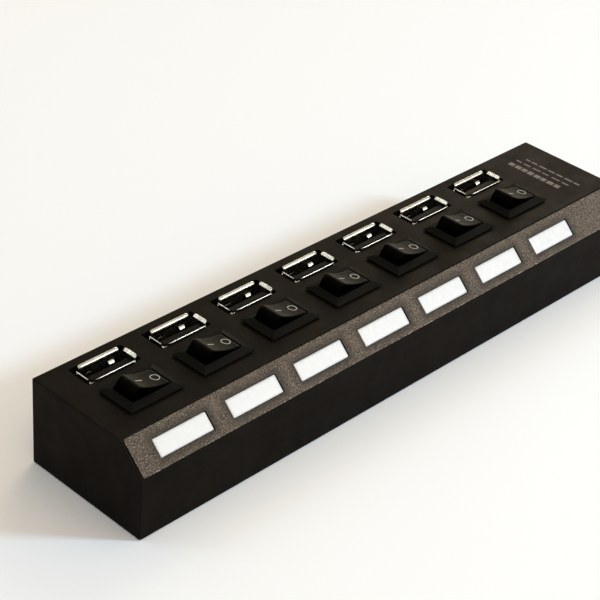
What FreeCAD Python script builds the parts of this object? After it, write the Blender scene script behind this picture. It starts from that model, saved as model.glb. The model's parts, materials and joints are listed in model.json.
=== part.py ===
"""Seven-port USB hub with an on/off rocker switch and a lit window beside every port.

Millimetres. Origin: centre of the footprint, on the surface that the hub stands on.
+X runs along the row of ports to the inlet end, +Y to the back, +Z up.
"""

import FreeCAD
import Part
import math
import os

Vector = FreeCAD.Vector

# ---- driving dimensions ------------------------------------------------------------------------
STATIONS = 7
PITCH = 20.6                      # from one port and switch to the next
LENGTH = 166.8
DEPTH = 35.0
TOP = 22.3                        # top face above the surface
FOOT_PROUD = 0.3                  # rubber feet below the housing
FRONT_TOP = 15.63                 # upper edge of the upright front face
SLOPE_RUN = 7.06                  # depth of the sloping window strip
WALL = 2.0
EDGE_R = 0.4
SLOPE_EDGE_R = 0.2
FIRST_X = -LENGTH / 2 + 14.85     # centre of the first station

COVER_T = 1.8                     # bottom cover, let into a rebate in the walls
REBATE = 1.0
COVER_GAP = 0.1

BOSS_X = 79.4                     # screw bosses in the four corners
BOSS_Y = 13.4
BOSS_R = 2.5
SCREW_R = 1.1
SCREW_HEAD_R = 2.3
SCREW_HEAD_H = 1.2
SCREW_SINK = 0.05                 # head below the cover's face
SCREW_LEN = 9.5
SCREW_SLOT = (2.6, 0.5, 0.7)      # arm of the cross recess: length, width, depth
PILOT_GAP = 0.05
COVER_HOLE_GAP = 0.2

FOOT_X = 66.0
FOOT_Y = 10.5
FOOT_R = 4.0
FOOT_T = 1.0

BOARD_TOP = 8.6                   # circuit board
BOARD_T = 1.6
BOARD_X0 = -76.0
BOARD_X1 = 81.2
BOARD_Y0 = -13.0
BOARD_Y1 = 15.0
POST_R = 1.8
POST_FLARE = 0.4                  # cover's posts are this much fatter than the shell's
POST_Y = 3.0
POST_GAPS = (0, 2, 3, 5)          # posts stand after these stations
TAIL = 2.8                        # pin length below the board's top face
CONTACT_HOLE_R = 0.55
LEG_HOLE = (0.7, 2.4)
LEAD_HOLE_R = 0.45
TERMINAL_HOLE_GAP = 0.4

FILM_T = 0.25                     # printed film on the slope, in a shallow recess
RECESS = 0.3
FILM_GAP = 0.05
FILM_END = 0.45                   # recess to the end faces
FILM_LOW = 0.25                   # recess to the slope's lower edge
FILM_HIGH = 0.35                  # recess to the slope's upper edge
FILM_R = 0.8
WINDOW_L = 15.1
WINDOW_W = 4.57
WINDOW_LOW = 2.23                 # slope's lower edge to the window
WINDOW_SHIFT = -0.3
WINDOW_R = 0.35
WINDOW_GAP = 0.05
WINDOW_FLANGE_T = 0.8
WINDOW_FLANGE = 0.35              # flange beyond the window, all round

PORT_Y = 11.07                    # upright USB-A receptacles
PORT_SHIFT = 0.33                 # right of their stations
SHELL_T = 0.3
MOUTH_L = 12.5
MOUTH_W = 5.12
SHELL_R = 0.6                     # outer corners of the shell's tube
LEG_W = 2.0
LIP_Z0 = TOP - 0.22               # where the flared lips begin
LIP_H = 0.72
LIP_OUT_L = 0.9                   # flare of the two short lips
LIP_OUT_W = 0.42                  # flare of the two long lips
LIP_ROOT = 0.3                    # lip's wall below the flare
LIP_EDGE = (0.1, 0.22)            # free edge: outward beyond the flare, and its height
LONG_LIP = 11.1
SHORT_LIP = 3.9
PORT_CUT_X = (-7.63, 7.17)        # hole round a port, from the port's centre
PORT_CUT_Y = (-3.17, 3.83)
CUT_R = 0.4                       # corners of the holes in the top
SPRING_X = 3.14
SPRING_W = 1.8
SPRING_T = 0.25
SPRING_SLOT_W = 2.2
SPRING_SLOT_DEEP = 1.2
SPRING_Z0 = 13.8
SPRING_BUMP_Z = 20.2
SPRING_Z1 = 20.8
SPRING_CURL = 0.46                # tip stands this much further out than the bump
SPRING_BEVEL = 0.1
BUMP_BACK = 0.75                  # springs' bumps into the mouth, on the contacts' side
BUMP_FRONT = 0.42
TONGUE_W = 11.1
TONGUE_T = 1.84
TONGUE_BACK_GAP = 0.72
TONGUE_TOP = 21.7
TONGUE_BEVEL = 0.3
INSULATOR_BASE = 2.4
INSULATOR_GAP = 0.05
INSULATOR_R = 0.35
CONTACT_X = (-3.5, -1.0, 1.0, 3.5)
CONTACT_W = 0.8
CONTACT_T = 0.25
CONTACT_TOP = 20.9
CONTACT_GAP = 0.05

SWITCH_Y = -0.68                  # rocker switches
BEZEL_L = 15.0
BEZEL_W = 10.47
BEZEL_H = 1.25
BEZEL_GAP = 0.4                   # undercut between the panel and the bezel's edge
BEZEL_INSET = 0.45                # how far the undercut goes in
BEZEL_EDGE = 0.1                  # upright edge under the bezel's slope
BEZEL_RIM = 0.2                   # flat rim round the opening
OPENING_L = 11.1
OPENING_W = 6.75
OPENING_R = 0.6
BODY_L = 13.4
BODY_W = 8.8
BODY_R = 0.3
BODY_BOTTOM = 11.6
BODY_FLOOR = 1.0
CAVITY_L = 11.5
PANEL_GAP = 0.1
PIVOT_Z = TOP - 0.5
ROCKER_R = 5.5                    # rocker's ends are round about its pivot
ROCKER_W = 6.35
RIDGE_DEG = 52.5                  # ridge from the rocker's centre line
SKIRT_DEG = 105.0                 # lower end of the round ends
DISH = 0.5                        # depth of the hollowed top
TILT_DEG = 16.5                   # either way from level
ROCKER_WALL = 1.1
RIDGE_R = 0.9                     # the two ridges
ROCKER_EDGE_R = 0.4               # the edges of the sides
TRUNNION_R = 1.0
TRUNNION_BOSS = 0.4               # thicker core between the trunnions
TRUNNION_GAP = 0.05
TRUNNION_L = 0.9
TRUNNION_HOLE = 0.8
STEM_W = 3.0
STEM_LEN = 4.4                    # below the pivot
STEM_TOP = 1.8                    # above the pivot
PLUNGER_R = 0.8
PLUNGER_GAP = 0.05
PLUNGER_LEN = 7.45                # tip below the pivot
PLUNGER_IN = 2.4                  # top of the plunger below the pivot
BLADE_L = 9.5
BLADE_W = 3.2
BLADE_T = 0.35
BLADE_DEG = 8.0
FULCRUM_Z = 13.9
TERMINAL_X = 4.2
TERMINAL_W = 2.8
TERMINAL_T = 0.8
TERMINAL_GAP = 0.02
TERMINAL_TOP = 13.22

LED_Y = -11.0
LED_R = 1.5
LED_FLANGE_R = 1.8
LED_H = 5.3
LED_FLANGE_H = 1.0
LEAD_T = 0.5
LEAD_PITCH = 2.54

PARTS_Y = -10.0                   # chips and crystals stand in a row along the board's front
CHIP_L = 8.6
CHIP_W = 3.9
CHIP_H = 1.5
CHIP_OFF = 0.1                    # chip's body above the board
CHIP_PINS = 14                    # along each side
CHIP_PITCH = 0.6
PIN_W = 0.25
PIN_T = 0.15
CRYSTAL_BASE = (11.0, 4.6, 0.5, 2.2)      # length, width, height, corner radius
CRYSTAL_CAN = (10.2, 3.8, 3.1, 1.8)
RESISTOR = (1.6, 0.8, 0.5)
RESISTOR_X = 3.2                  # from its station
CERAMIC = (2.0, 1.25, 0.9)
CERAMIC_X = -4.2
CERAMIC_Y = 5.6

INLET_FACE = LENGTH / 2 - 0.2     # inlets stop just inside the end face
UPSTREAM_Y = 6.0
UPSTREAM_W = 7.7
UPSTREAM_H = 3.9
UPSTREAM_LEN = 9.2
UPSTREAM_NARROW = 1.0             # shell narrows by this on each side of its foot
UPSTREAM_STEP = 1.4               # height of the narrow foot
UPSTREAM_BASE = 2.6               # length of the insulator's block
UPSTREAM_TONGUE = (2.0, 0.7)      # half width and thickness
UPSTREAM_CONTACT_Y = (-1.6, -0.8, 0.0, 0.8, 1.6)
UPSTREAM_CONTACT = (0.3, 0.12)
JACK_Y = -4.2
JACK_W = 9.0
JACK_H = 11.0
JACK_LEN = 13.0
JACK_COLLAR_R = 4.0
JACK_BORE_R = 2.85
JACK_PIN_R = 1.0
JACK_DEPTH = 9.5
INLET_GAP = 0.15
CAN_X = 65.15                     # capacitor cans between the last station and the inlets
CAN_Y = (-9.0, 1.5, 10.5)
CAN_R = 3.15
CAN_H = 7.3
CAN_GROOVE_Z = 1.4
CAN_GROOVE = (0.2, 0.5)           # depth and height
CAN_BASE_R = 2.6
CAN_BASE_H = 0.3

# ---- derived places ----------------------------------------------------------------------------
BOTTOM = FOOT_PROUD
FRONT = -DEPTH / 2
SLOPE_RISE = TOP - FRONT_TOP
SLOPE_LEN = math.hypot(SLOPE_RUN, SLOPE_RISE)
SLOPE_DEG = math.degrees(math.atan2(SLOPE_RISE, SLOPE_RUN))
BOARD_BOTTOM = BOARD_TOP - BOARD_T
TAIL_Z = BOARD_TOP - TAIL
COVER_TOP = BOTTOM + COVER_T
STATION_X = [FIRST_X + PITCH * k for k in range(STATIONS)]
GAP_X = [x + PITCH / 2 for x in STATION_X[:-1]]
CORNERS = [(sx, sy) for sx in (-1, 1) for sy in (-1, 1)]
LEFT_DOWN = Vector(0, -1, 0)      # a turn about this axis presses a rocker's left end


# ---- shape helpers -----------------------------------------------------------------------------
def box(x0, x1, y0, y1, z0, z1):
    return Part.makeBox(x1 - x0, y1 - y0, z1 - z0, Vector(x0, y0, z0))


def block(x, y, z0, lx, ly, h):
    """A box centred on x, y that stands on z0."""
    return box(x - lx / 2, x + lx / 2, y - ly / 2, y + ly / 2, z0, z0 + h)


def rounded_block(x, y, z0, lx, ly, h, r):
    """A block whose four upright edges are rounded."""
    solid = block(x, y, z0, lx, ly, h)
    upright = [e for e in solid.Edges if e.BoundBox.ZLength > h * 0.99]
    return solid.makeFillet(r, upright)


def rod(x, y, z0, r, h):
    return Part.makeCylinder(r, h, Vector(x, y, z0))


def cross_rod(x, y0, y1, z, r):
    return Part.makeCylinder(r, y1 - y0, Vector(x, y0, z), Vector(0, 1, 0))


def end_rod(x0, x1, y, z, r):
    return Part.makeCylinder(r, x1 - x0, Vector(x0, y, z), Vector(1, 0, 0))


def prism_x(points, x0, x1):
    """A solid with an outline of (y, z) points, from x0 to x1."""
    ring = [Vector(x0, y, z) for y, z in points]
    face = Part.Face(Part.makePolygon(ring + ring[:1]))
    return face.extrude(Vector(x1 - x0, 0, 0))


def prism_y(points, y0, y1):
    """A solid with an outline of (x, z) points, from y0 to y1."""
    ring = [Vector(x, y0, z) for x, z in points]
    face = Part.Face(Part.makePolygon(ring + ring[:1]))
    return face.extrude(Vector(0, y1 - y0, 0))


def slope_block(x, low, lx, width, depth0, depth1, r):
    """A rounded block let into the slope, from depth0 to depth1 under its face."""
    solid = rounded_block(x, low + width / 2, -depth1, lx, width, depth1 - depth0, r)
    solid.rotate(Vector(0, 0, 0), Vector(1, 0, 0), SLOPE_DEG)
    solid.translate(Vector(0, FRONT, FRONT_TOP))
    return solid


def join(first, *others):
    return first.fuse(list(others)).removeSplitter()


def save(name, *shapes):
    """Writes the solids of one node to its file."""
    solids = [s for shape in shapes for s in shape.Solids]
    whole = solids[0] if len(solids) == 1 else Part.makeCompound(solids)
    if not whole.isValid():
        raise ValueError("invalid shape: " + name)
    whole.exportStep(os.path.join("parts", name + ".step"))
    print(f"{name:24s} {len(solids):3d} solids {whole.Volume:10.2f} mm3")


# ---- housing -----------------------------------------------------------------------------------
def outline():
    """The hub's closed outer form, with softened edges."""
    points = [
        (FRONT, BOTTOM),
        (-FRONT, BOTTOM),
        (-FRONT, TOP),
        (FRONT + SLOPE_RUN, TOP),
        (FRONT, FRONT_TOP),
    ]
    solid = prism_x(points, -LENGTH / 2, LENGTH / 2)

    def borders_slope(edge):
        centre = edge.CenterOfMass
        return centre.z > FRONT_TOP - 0.01 and centre.y < FRONT + SLOPE_RUN + 0.01

    def at_bottom(edge):
        return edge.BoundBox.ZMax < BOTTOM + 0.01

    others = [e for e in solid.Edges if not borders_slope(e) and not at_bottom(e)]
    solid = solid.makeFillet(EDGE_R, others)
    slope_edges = [e for e in solid.Edges if borders_slope(e) and e.Length > 5]
    return solid.makeFillet(SLOPE_EDGE_R, slope_edges)


def cavity():
    """The space inside the walls, with the rebate for the bottom cover."""
    slope_wall = WALL / math.cos(math.radians(SLOPE_DEG))
    inner = FRONT + WALL
    low_z = FRONT_TOP + WALL * SLOPE_RISE / SLOPE_RUN - slope_wall
    high_y = FRONT + (TOP - WALL - FRONT_TOP + slope_wall) * SLOPE_RUN / SLOPE_RISE
    points = [
        (inner, BOTTOM - 1),
        (-inner, BOTTOM - 1),
        (-inner, TOP - WALL),
        (high_y, TOP - WALL),
        (inner, low_z),
    ]
    room = prism_x(points, -LENGTH / 2 + WALL, LENGTH / 2 - WALL)
    lx = LENGTH - 2 * REBATE
    ly = DEPTH - 2 * REBATE
    rebate = block(0, 0, BOTTOM - 1, lx, ly, COVER_T + 1)
    return room.fuse(rebate)


def film_block(inset, depth):
    """The rounded slab of the slope's recess or its film, from depth down to the recess floor."""
    lx = LENGTH - 2 * FILM_END - 2 * inset
    width = SLOPE_LEN - FILM_LOW - FILM_HIGH - 2 * inset
    return slope_block(0, FILM_LOW + inset, lx, width, depth, RECESS, FILM_R)


def window_hole(x):
    return slope_block(
        x + WINDOW_SHIFT, WINDOW_LOW, WINDOW_L, WINDOW_W, -1.0, WALL + 1.0, WINDOW_R)


def port_hole(x):
    """The hole round a port, a little longer on the left and wider at the back."""
    x0, x1 = [x + PORT_SHIFT + dx for dx in PORT_CUT_X]
    y0, y1 = [PORT_Y + dy for dy in PORT_CUT_Y]
    return rounded_block(
        (x0 + x1) / 2, (y0 + y1) / 2, TOP - WALL - 1, x1 - x0, y1 - y0, WALL + 2, CUT_R)


def top_shell():
    form = outline()
    shell = form.cut(cavity())
    bosses = [
        rod(sx * BOSS_X, sy * BOSS_Y, COVER_TOP, BOSS_R, TOP - COVER_TOP - WALL / 2)
        for sx, sy in CORNERS
    ]
    posts = [
        rod(GAP_X[k], POST_Y, BOARD_TOP, POST_R, TOP - BOARD_TOP - WALL / 2)
        for k in POST_GAPS
    ]
    shell = join(shell, *[pillar.common(form) for pillar in bosses + posts])
    cuts = [film_block(0.0, -1.0)]
    for x in STATION_X:
        cuts.append(port_hole(x))
        cuts.append(rounded_block(
            x, SWITCH_Y, TOP - WALL - 1, BODY_L + 2 * PANEL_GAP, BODY_W + 2 * PANEL_GAP,
            WALL + 2, CUT_R))
        cuts.append(window_hole(x))
    for sx, sy in CORNERS:
        cuts.append(rod(
            sx * BOSS_X, sy * BOSS_Y, COVER_TOP - 1, SCREW_R + PILOT_GAP, SCREW_LEN + 0.5))
    end = LENGTH / 2
    cuts.append(box(
        end - WALL - 1, end + 1,
        UPSTREAM_Y - UPSTREAM_W / 2 - INLET_GAP, UPSTREAM_Y + UPSTREAM_W / 2 + INLET_GAP,
        BOARD_TOP - INLET_GAP, BOARD_TOP + UPSTREAM_H + INLET_GAP))
    jack_z = BOARD_TOP + JACK_H / 2
    cuts.append(end_rod(end - WALL - 1, end + 1, JACK_Y, jack_z, JACK_COLLAR_R + INLET_GAP))
    return shell.cut(cuts).removeSplitter()


def bottom_cover():
    lx = LENGTH - 2 * REBATE - 2 * COVER_GAP
    ly = DEPTH - 2 * REBATE - 2 * COVER_GAP
    plate = block(0, 0, BOTTOM, lx, ly, COVER_T)
    posts = [
        rod(GAP_X[k], POST_Y, COVER_TOP - 0.5, POST_R + POST_FLARE,
            BOARD_BOTTOM - COVER_TOP + 0.5)
        for k in POST_GAPS
    ]
    plate = join(plate, *posts)
    cuts = []
    for sx, sy in CORNERS:
        at = Vector(sx * BOSS_X, sy * BOSS_Y, BOTTOM - 0.01)
        hole_r = SCREW_R + COVER_HOLE_GAP
        cuts.append(rod(at.x, at.y, BOTTOM - 1, hole_r, COVER_T + 2))
        cuts.append(Part.makeCone(
            SCREW_HEAD_R + COVER_HOLE_GAP, hole_r, SCREW_HEAD_H + 2 * SCREW_SINK, at))
        cuts.append(rod(sx * FOOT_X, sy * FOOT_Y, BOTTOM - 1, FOOT_R, FOOT_T - FOOT_PROUD + 1))
    return plate.cut(cuts)


def cover_screw(sx, sy):
    """A countersunk self-tapping screw with a cross recess."""
    x = sx * BOSS_X
    y = sy * BOSS_Y
    z0 = BOTTOM + SCREW_SINK
    head = Part.makeCone(SCREW_HEAD_R, SCREW_R, SCREW_HEAD_H, Vector(x, y, z0))
    shank = rod(x, y, BOTTOM + 1.0, SCREW_R, SCREW_LEN)
    long, wide, deep = SCREW_SLOT
    slots = [block(x, y, z0 - 1, long, wide, deep + 1), block(x, y, z0 - 1, wide, long, deep + 1)]
    return join(head, shank).cut(slots)


def foot(sx, sy):
    pad = rod(sx * FOOT_X, sy * FOOT_Y, 0, FOOT_R, FOOT_T)
    rim = [e for e in pad.Edges if e.BoundBox.ZMax < 0.01]
    return pad.makeFillet(FOOT_PROUD * 0.6, rim)


def label_film():
    return film_block(FILM_GAP, RECESS - FILM_T).cut([window_hole(x) for x in STATION_X])


def window(x):
    """A white light window with a flange behind the wall."""
    x = x + WINDOW_SHIFT
    plug = slope_block(
        x, WINDOW_LOW + WINDOW_GAP, WINDOW_L - 2 * WINDOW_GAP, WINDOW_W - 2 * WINDOW_GAP,
        RECESS - FILM_T + 0.05, WALL + 0.1, WINDOW_R)
    flange = slope_block(
        x, WINDOW_LOW - WINDOW_FLANGE, WINDOW_L + 2 * WINDOW_FLANGE, WINDOW_W + 2 * WINDOW_FLANGE,
        WALL, WALL + WINDOW_FLANGE_T, WINDOW_R + WINDOW_FLANGE)
    return join(plug, flange)


# ---- circuit board and what is soldered to it --------------------------------------------------
def main_board():
    board = box(BOARD_X0, BOARD_X1, BOARD_Y0, BOARD_Y1, BOARD_BOTTOM, BOARD_TOP)
    notch_x = BOSS_X - BOSS_R - 0.5
    notch_y = BOSS_Y - BOSS_R - 0.5
    cuts = [
        box(notch_x, BOARD_X1 + 1, notch_y, BOARD_Y1 + 1, 0, TOP),
        box(notch_x, BOARD_X1 + 1, BOARD_Y0 - 1, -notch_y, 0, TOP),
    ]
    z0 = BOARD_BOTTOM - 1
    deep = BOARD_T + 2
    for x in STATION_X:
        port_x = x + PORT_SHIFT
        for dx in CONTACT_X:
            cuts.append(rod(port_x + dx, PORT_Y + CONTACT_T / 2, z0, CONTACT_HOLE_R, deep))
        for side in (-1, 1):
            leg_x = port_x + side * (MOUTH_L + SHELL_T) / 2
            cuts.append(block(leg_x, PORT_Y, z0, *LEG_HOLE, deep))
            cuts.append(rod(x + side * LEAD_PITCH / 2, LED_Y, z0, LEAD_HOLE_R, deep))
        for dx in (0.0, TERMINAL_X):
            cuts.append(block(
                x + dx, SWITCH_Y, z0, TERMINAL_T + TERMINAL_HOLE_GAP,
                TERMINAL_W + TERMINAL_HOLE_GAP, deep))
    return board.cut(cuts)


def spring_points(bump):
    """A shell spring's outline, as (distance from the mouth's centre plane, height)."""
    inner = MOUTH_W / 2
    crest = inner - bump
    root_z = SPRING_Z0 - SPRING_T
    return [
        (inner + SHELL_T, root_z),
        (crest + SPRING_T, SPRING_BUMP_Z - SPRING_BEVEL),
        (crest + SPRING_CURL + SPRING_T, SPRING_Z1 - SPRING_BEVEL),
        (crest + SPRING_CURL, SPRING_Z1),
        (crest, SPRING_BUMP_Z),
        (inner, root_z),
    ]


def port_shell(x):
    """A folded steel shell with four flared lips, four springs and two legs."""
    x = x + PORT_SHIFT
    outer_l = MOUTH_L + 2 * SHELL_T
    outer_w = MOUTH_W + 2 * SHELL_T
    tube = rounded_block(x, PORT_Y, BOARD_TOP, outer_l, outer_w, LIP_Z0 - BOARD_TOP, SHELL_R)
    tube = tube.cut(rounded_block(
        x, PORT_Y, BOARD_TOP - 1, MOUTH_L, MOUTH_W, TOP, SHELL_R - SHELL_T))
    slots = [
        block(x + dx, PORT_Y + side * outer_w / 2, SPRING_Z0, SPRING_SLOT_W, SPRING_SLOT_DEEP,
              SPRING_Z1 + 0.2 - SPRING_Z0)
        for dx in (-SPRING_X, SPRING_X) for side in (-1, 1)
    ]
    tube = tube.cut(slots)
    pieces = []

    def lip(half, out):
        """Outline of a lip that starts on a wall half a mouth from the centre."""
        return [
            (half, LIP_Z0 - LIP_ROOT),
            (half + SHELL_T, LIP_Z0 - LIP_ROOT),
            (half + SHELL_T, LIP_Z0),
            (half + SHELL_T + out, LIP_Z0 + LIP_H - LIP_EDGE[1]),
            (half + out + LIP_EDGE[0], LIP_Z0 + LIP_H),
            (half, LIP_Z0),
        ]

    for side in (-1, 1):
        across = [(PORT_Y + side * u, z) for u, z in lip(MOUTH_W / 2, LIP_OUT_W)]
        along = [(x + side * u, z) for u, z in lip(MOUTH_L / 2, LIP_OUT_L)]
        pieces.append(prism_x(across, x - LONG_LIP / 2, x + LONG_LIP / 2))
        pieces.append(prism_y(along, PORT_Y - SHORT_LIP / 2, PORT_Y + SHORT_LIP / 2))
        leg_x = x + side * (MOUTH_L + SHELL_T) / 2
        pieces.append(block(leg_x, PORT_Y, TAIL_Z, SHELL_T, LEG_W, TAIL + 0.5))
        bump = BUMP_BACK if side > 0 else BUMP_FRONT
        spring = [(PORT_Y + side * u, z) for u, z in spring_points(bump)]
        for dx in (-SPRING_X, SPRING_X):
            pieces.append(prism_x(spring, x + dx - SPRING_W / 2, x + dx + SPRING_W / 2))
    return join(tube, *pieces)


def port_insulator(x):
    """The black block at the bottom of a receptacle and the tongue that stands on it."""
    x = x + PORT_SHIFT
    base = rounded_block(
        x, PORT_Y, BOARD_TOP, MOUTH_L - 2 * INSULATOR_GAP, MOUTH_W - 2 * INSULATOR_GAP,
        INSULATOR_BASE, INSULATOR_R)
    y0 = PORT_Y - MOUTH_W / 2 + TONGUE_BACK_GAP
    y1 = y0 + TONGUE_T
    shoulder_z = TONGUE_TOP - TONGUE_BEVEL
    z0 = BOARD_TOP + INSULATOR_BASE - 0.5
    points = [
        (y0, z0),
        (y1, z0),
        (y1, shoulder_z),
        (y1 - TONGUE_BEVEL, TONGUE_TOP),
        (y0 + TONGUE_BEVEL, TONGUE_TOP),
        (y0, shoulder_z),
    ]
    tongue = prism_x(points, x - TONGUE_W / 2, x + TONGUE_W / 2)
    half = CONTACT_W / 2 + CONTACT_GAP
    slots = [
        box(x + dx - half, x + dx + half, y1, y1 + CONTACT_T + 2 * CONTACT_GAP,
            BOARD_TOP - 1, TONGUE_TOP)
        for dx in CONTACT_X
    ]
    return join(base, tongue).cut(slots)


def port_contacts(x):
    """Four contact strips on the tongue's rear face, with tails through the board."""
    x = x + PORT_SHIFT
    y0 = PORT_Y - MOUTH_W / 2 + TONGUE_BACK_GAP + TONGUE_T
    strips = []
    for dx in CONTACT_X:
        points = [
            (y0, TAIL_Z),
            (y0 + CONTACT_T, TAIL_Z),
            (y0 + CONTACT_T, CONTACT_TOP - CONTACT_T),
            (y0, CONTACT_TOP),
        ]
        strips.append(prism_x(points, x + dx - CONTACT_W / 2, x + dx + CONTACT_W / 2))
    return strips


def status_led(x):
    """A 3 mm lamp with its flange and two leads."""
    bulb = rod(x, LED_Y, BOARD_TOP + 0.2, LED_R, LED_H - LED_R - 0.2)
    dome = Part.makeSphere(LED_R, Vector(x, LED_Y, BOARD_TOP + LED_H - LED_R))
    flange = rod(x, LED_Y, BOARD_TOP, LED_FLANGE_R, LED_FLANGE_H)
    leads = [
        block(x + side * LEAD_PITCH / 2, LED_Y, TAIL_Z, LEAD_T, LEAD_T, TAIL + 0.5)
        for side in (-1, 1)
    ]
    return join(bulb, dome, flange, *leads)


def hub_chip(x):
    """A hub controller with gull-wing leads along both long sides."""
    body = block(x, PARTS_Y, BOARD_TOP + CHIP_OFF, CHIP_L, CHIP_W, CHIP_H)
    knee = CHIP_W / 2 + 0.5           # from the middle to a lead's upright stretch
    shoulder_z = 0.55                 # where the leads leave the body, above the board
    leads = []
    for n in range(CHIP_PINS):
        lead_x = x + CHIP_PITCH * (n - (CHIP_PINS - 1) / 2)
        for side in (-1, 1):
            y = PARTS_Y + side * knee
            leads.append(block(
                lead_x, y - side * 0.35, BOARD_TOP + shoulder_z, PIN_W, 0.7, PIN_T))
            leads.append(block(lead_x, y, BOARD_TOP, PIN_W, PIN_T, shoulder_z + PIN_T))
            leads.append(block(lead_x, y + side * 0.3, BOARD_TOP, PIN_W, 0.6, PIN_T))
    return join(body, *leads)


def crystal(x):
    """A low metal-can crystal: a flanged base and its can."""
    length, width, height, corner = CRYSTAL_BASE
    base = rounded_block(x, PARTS_Y, BOARD_TOP, length, width, height, corner)
    length, width, rise, corner = CRYSTAL_CAN
    can = rounded_block(x, PARTS_Y, BOARD_TOP + height / 2, length, width, rise, corner)
    return join(base, can)


def electrolytic(x, y):
    """A radial can capacitor with a rolled groove, on its bung."""
    can = rod(x, y, BOARD_TOP + CAN_BASE_H, CAN_R, CAN_H - CAN_BASE_H)
    depth, height = CAN_GROOVE
    z0 = BOARD_TOP + CAN_GROOVE_Z
    groove = rod(x, y, z0, CAN_R + 1, height).cut(rod(x, y, z0, CAN_R - depth, height))
    bung = rod(x, y, BOARD_TOP, CAN_BASE_R, CAN_BASE_H + 0.2)
    return join(can.cut(groove), bung)


def chip_part(x, y, size):
    return block(x, y, BOARD_TOP, *size)


# ---- rocker switches ---------------------------------------------------------------------------
def switch_housing(x):
    """Bezel and body of a snap-in rocker switch, hollow, with a bearing hole each side."""
    low = [
        (x - BEZEL_L / 2, SWITCH_Y - BEZEL_W / 2),
        (x + BEZEL_L / 2, SWITCH_Y - BEZEL_W / 2),
        (x + BEZEL_L / 2, SWITCH_Y + BEZEL_W / 2),
        (x - BEZEL_L / 2, SWITCH_Y + BEZEL_W / 2),
    ]
    rim_l = OPENING_L + 2 * BEZEL_RIM
    rim_w = OPENING_W + 2 * BEZEL_RIM
    high = [
        (x - rim_l / 2, SWITCH_Y - rim_w / 2),
        (x + rim_l / 2, SWITCH_Y - rim_w / 2),
        (x + rim_l / 2, SWITCH_Y + rim_w / 2),
        (x - rim_l / 2, SWITCH_Y + rim_w / 2),
    ]

    def ring(points, z):
        return Part.makePolygon([Vector(px, py, z) for px, py in points + points[:1]])

    edge_z = TOP + BEZEL_GAP
    slope_z = edge_z + BEZEL_EDGE
    slope = Part.makeLoft([ring(low, slope_z), ring(high, TOP + BEZEL_H)], True, True)
    edge = block(x, SWITCH_Y, edge_z, BEZEL_L, BEZEL_W, BEZEL_EDGE)
    foot_l = BEZEL_L - 2 * BEZEL_INSET
    foot_w = BEZEL_W - 2 * BEZEL_INSET
    under = block(x, SWITCH_Y, TOP, foot_l, foot_w, BEZEL_GAP)
    body = rounded_block(x, SWITCH_Y, BODY_BOTTOM, BODY_L, BODY_W, slope_z - BODY_BOTTOM, BODY_R)
    housing = join(slope, edge, under, body)
    floor = BODY_BOTTOM + BODY_FLOOR
    cuts = [
        rounded_block(x, SWITCH_Y, floor, OPENING_L, OPENING_W, TOP, OPENING_R),
        rounded_block(x, SWITCH_Y, floor, CAVITY_L, OPENING_W, TOP - floor, BODY_R),
    ]
    for side in (-1, 1):
        inner = SWITCH_Y + side * OPENING_W / 2
        outer = inner + side * TRUNNION_HOLE
        y0, y1 = sorted((inner - side * 0.5, outer))
        cuts.append(cross_rod(x, y0, y1, PIVOT_Z, TRUNNION_R + TRUNNION_GAP))
    for dx in (0.0, TERMINAL_X):
        cuts.append(block(
            x + dx, SWITCH_Y, BODY_BOTTOM - 1, TERMINAL_T + 2 * TERMINAL_GAP,
            TERMINAL_W + 2 * TERMINAL_GAP, BODY_FLOOR + 2))
    housing = housing.cut(cuts)
    stop = block(
        x - TERMINAL_X, SWITCH_Y, floor - 0.2, TERMINAL_T, TERMINAL_W, TERMINAL_TOP - floor + 0.2)
    return join(housing, stop)


def rocker_outline(shrink):
    """Side outline of a rocker about its pivot: hollowed top, round ends, flat underside."""
    r = ROCKER_R - shrink
    ridge = math.radians(RIDGE_DEG)
    skirt = math.radians(SKIRT_DEG)
    middle = (ridge + skirt) / 2
    top_z = ROCKER_R * math.cos(ridge) - shrink

    def at(angle):
        return Vector(r * math.sin(angle), 0, r * math.cos(angle))

    def left(point):
        return Vector(-point.x, 0, point.z)

    crown = Vector(math.sqrt(r * r - top_z * top_z), 0, top_z)
    dip = Vector(0, 0, top_z - DISH)
    top = Part.Arc(left(crown), dip, crown).toShape()
    right_end = Part.Arc(crown, at(middle), at(skirt)).toShape()
    under = Part.LineSegment(at(skirt), left(at(skirt))).toShape()
    left_end = Part.Arc(left(at(skirt)), left(at(middle)), left(crown)).toShape()
    return Part.Face(Part.Wire([top, right_end, under, left_end]))


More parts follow.
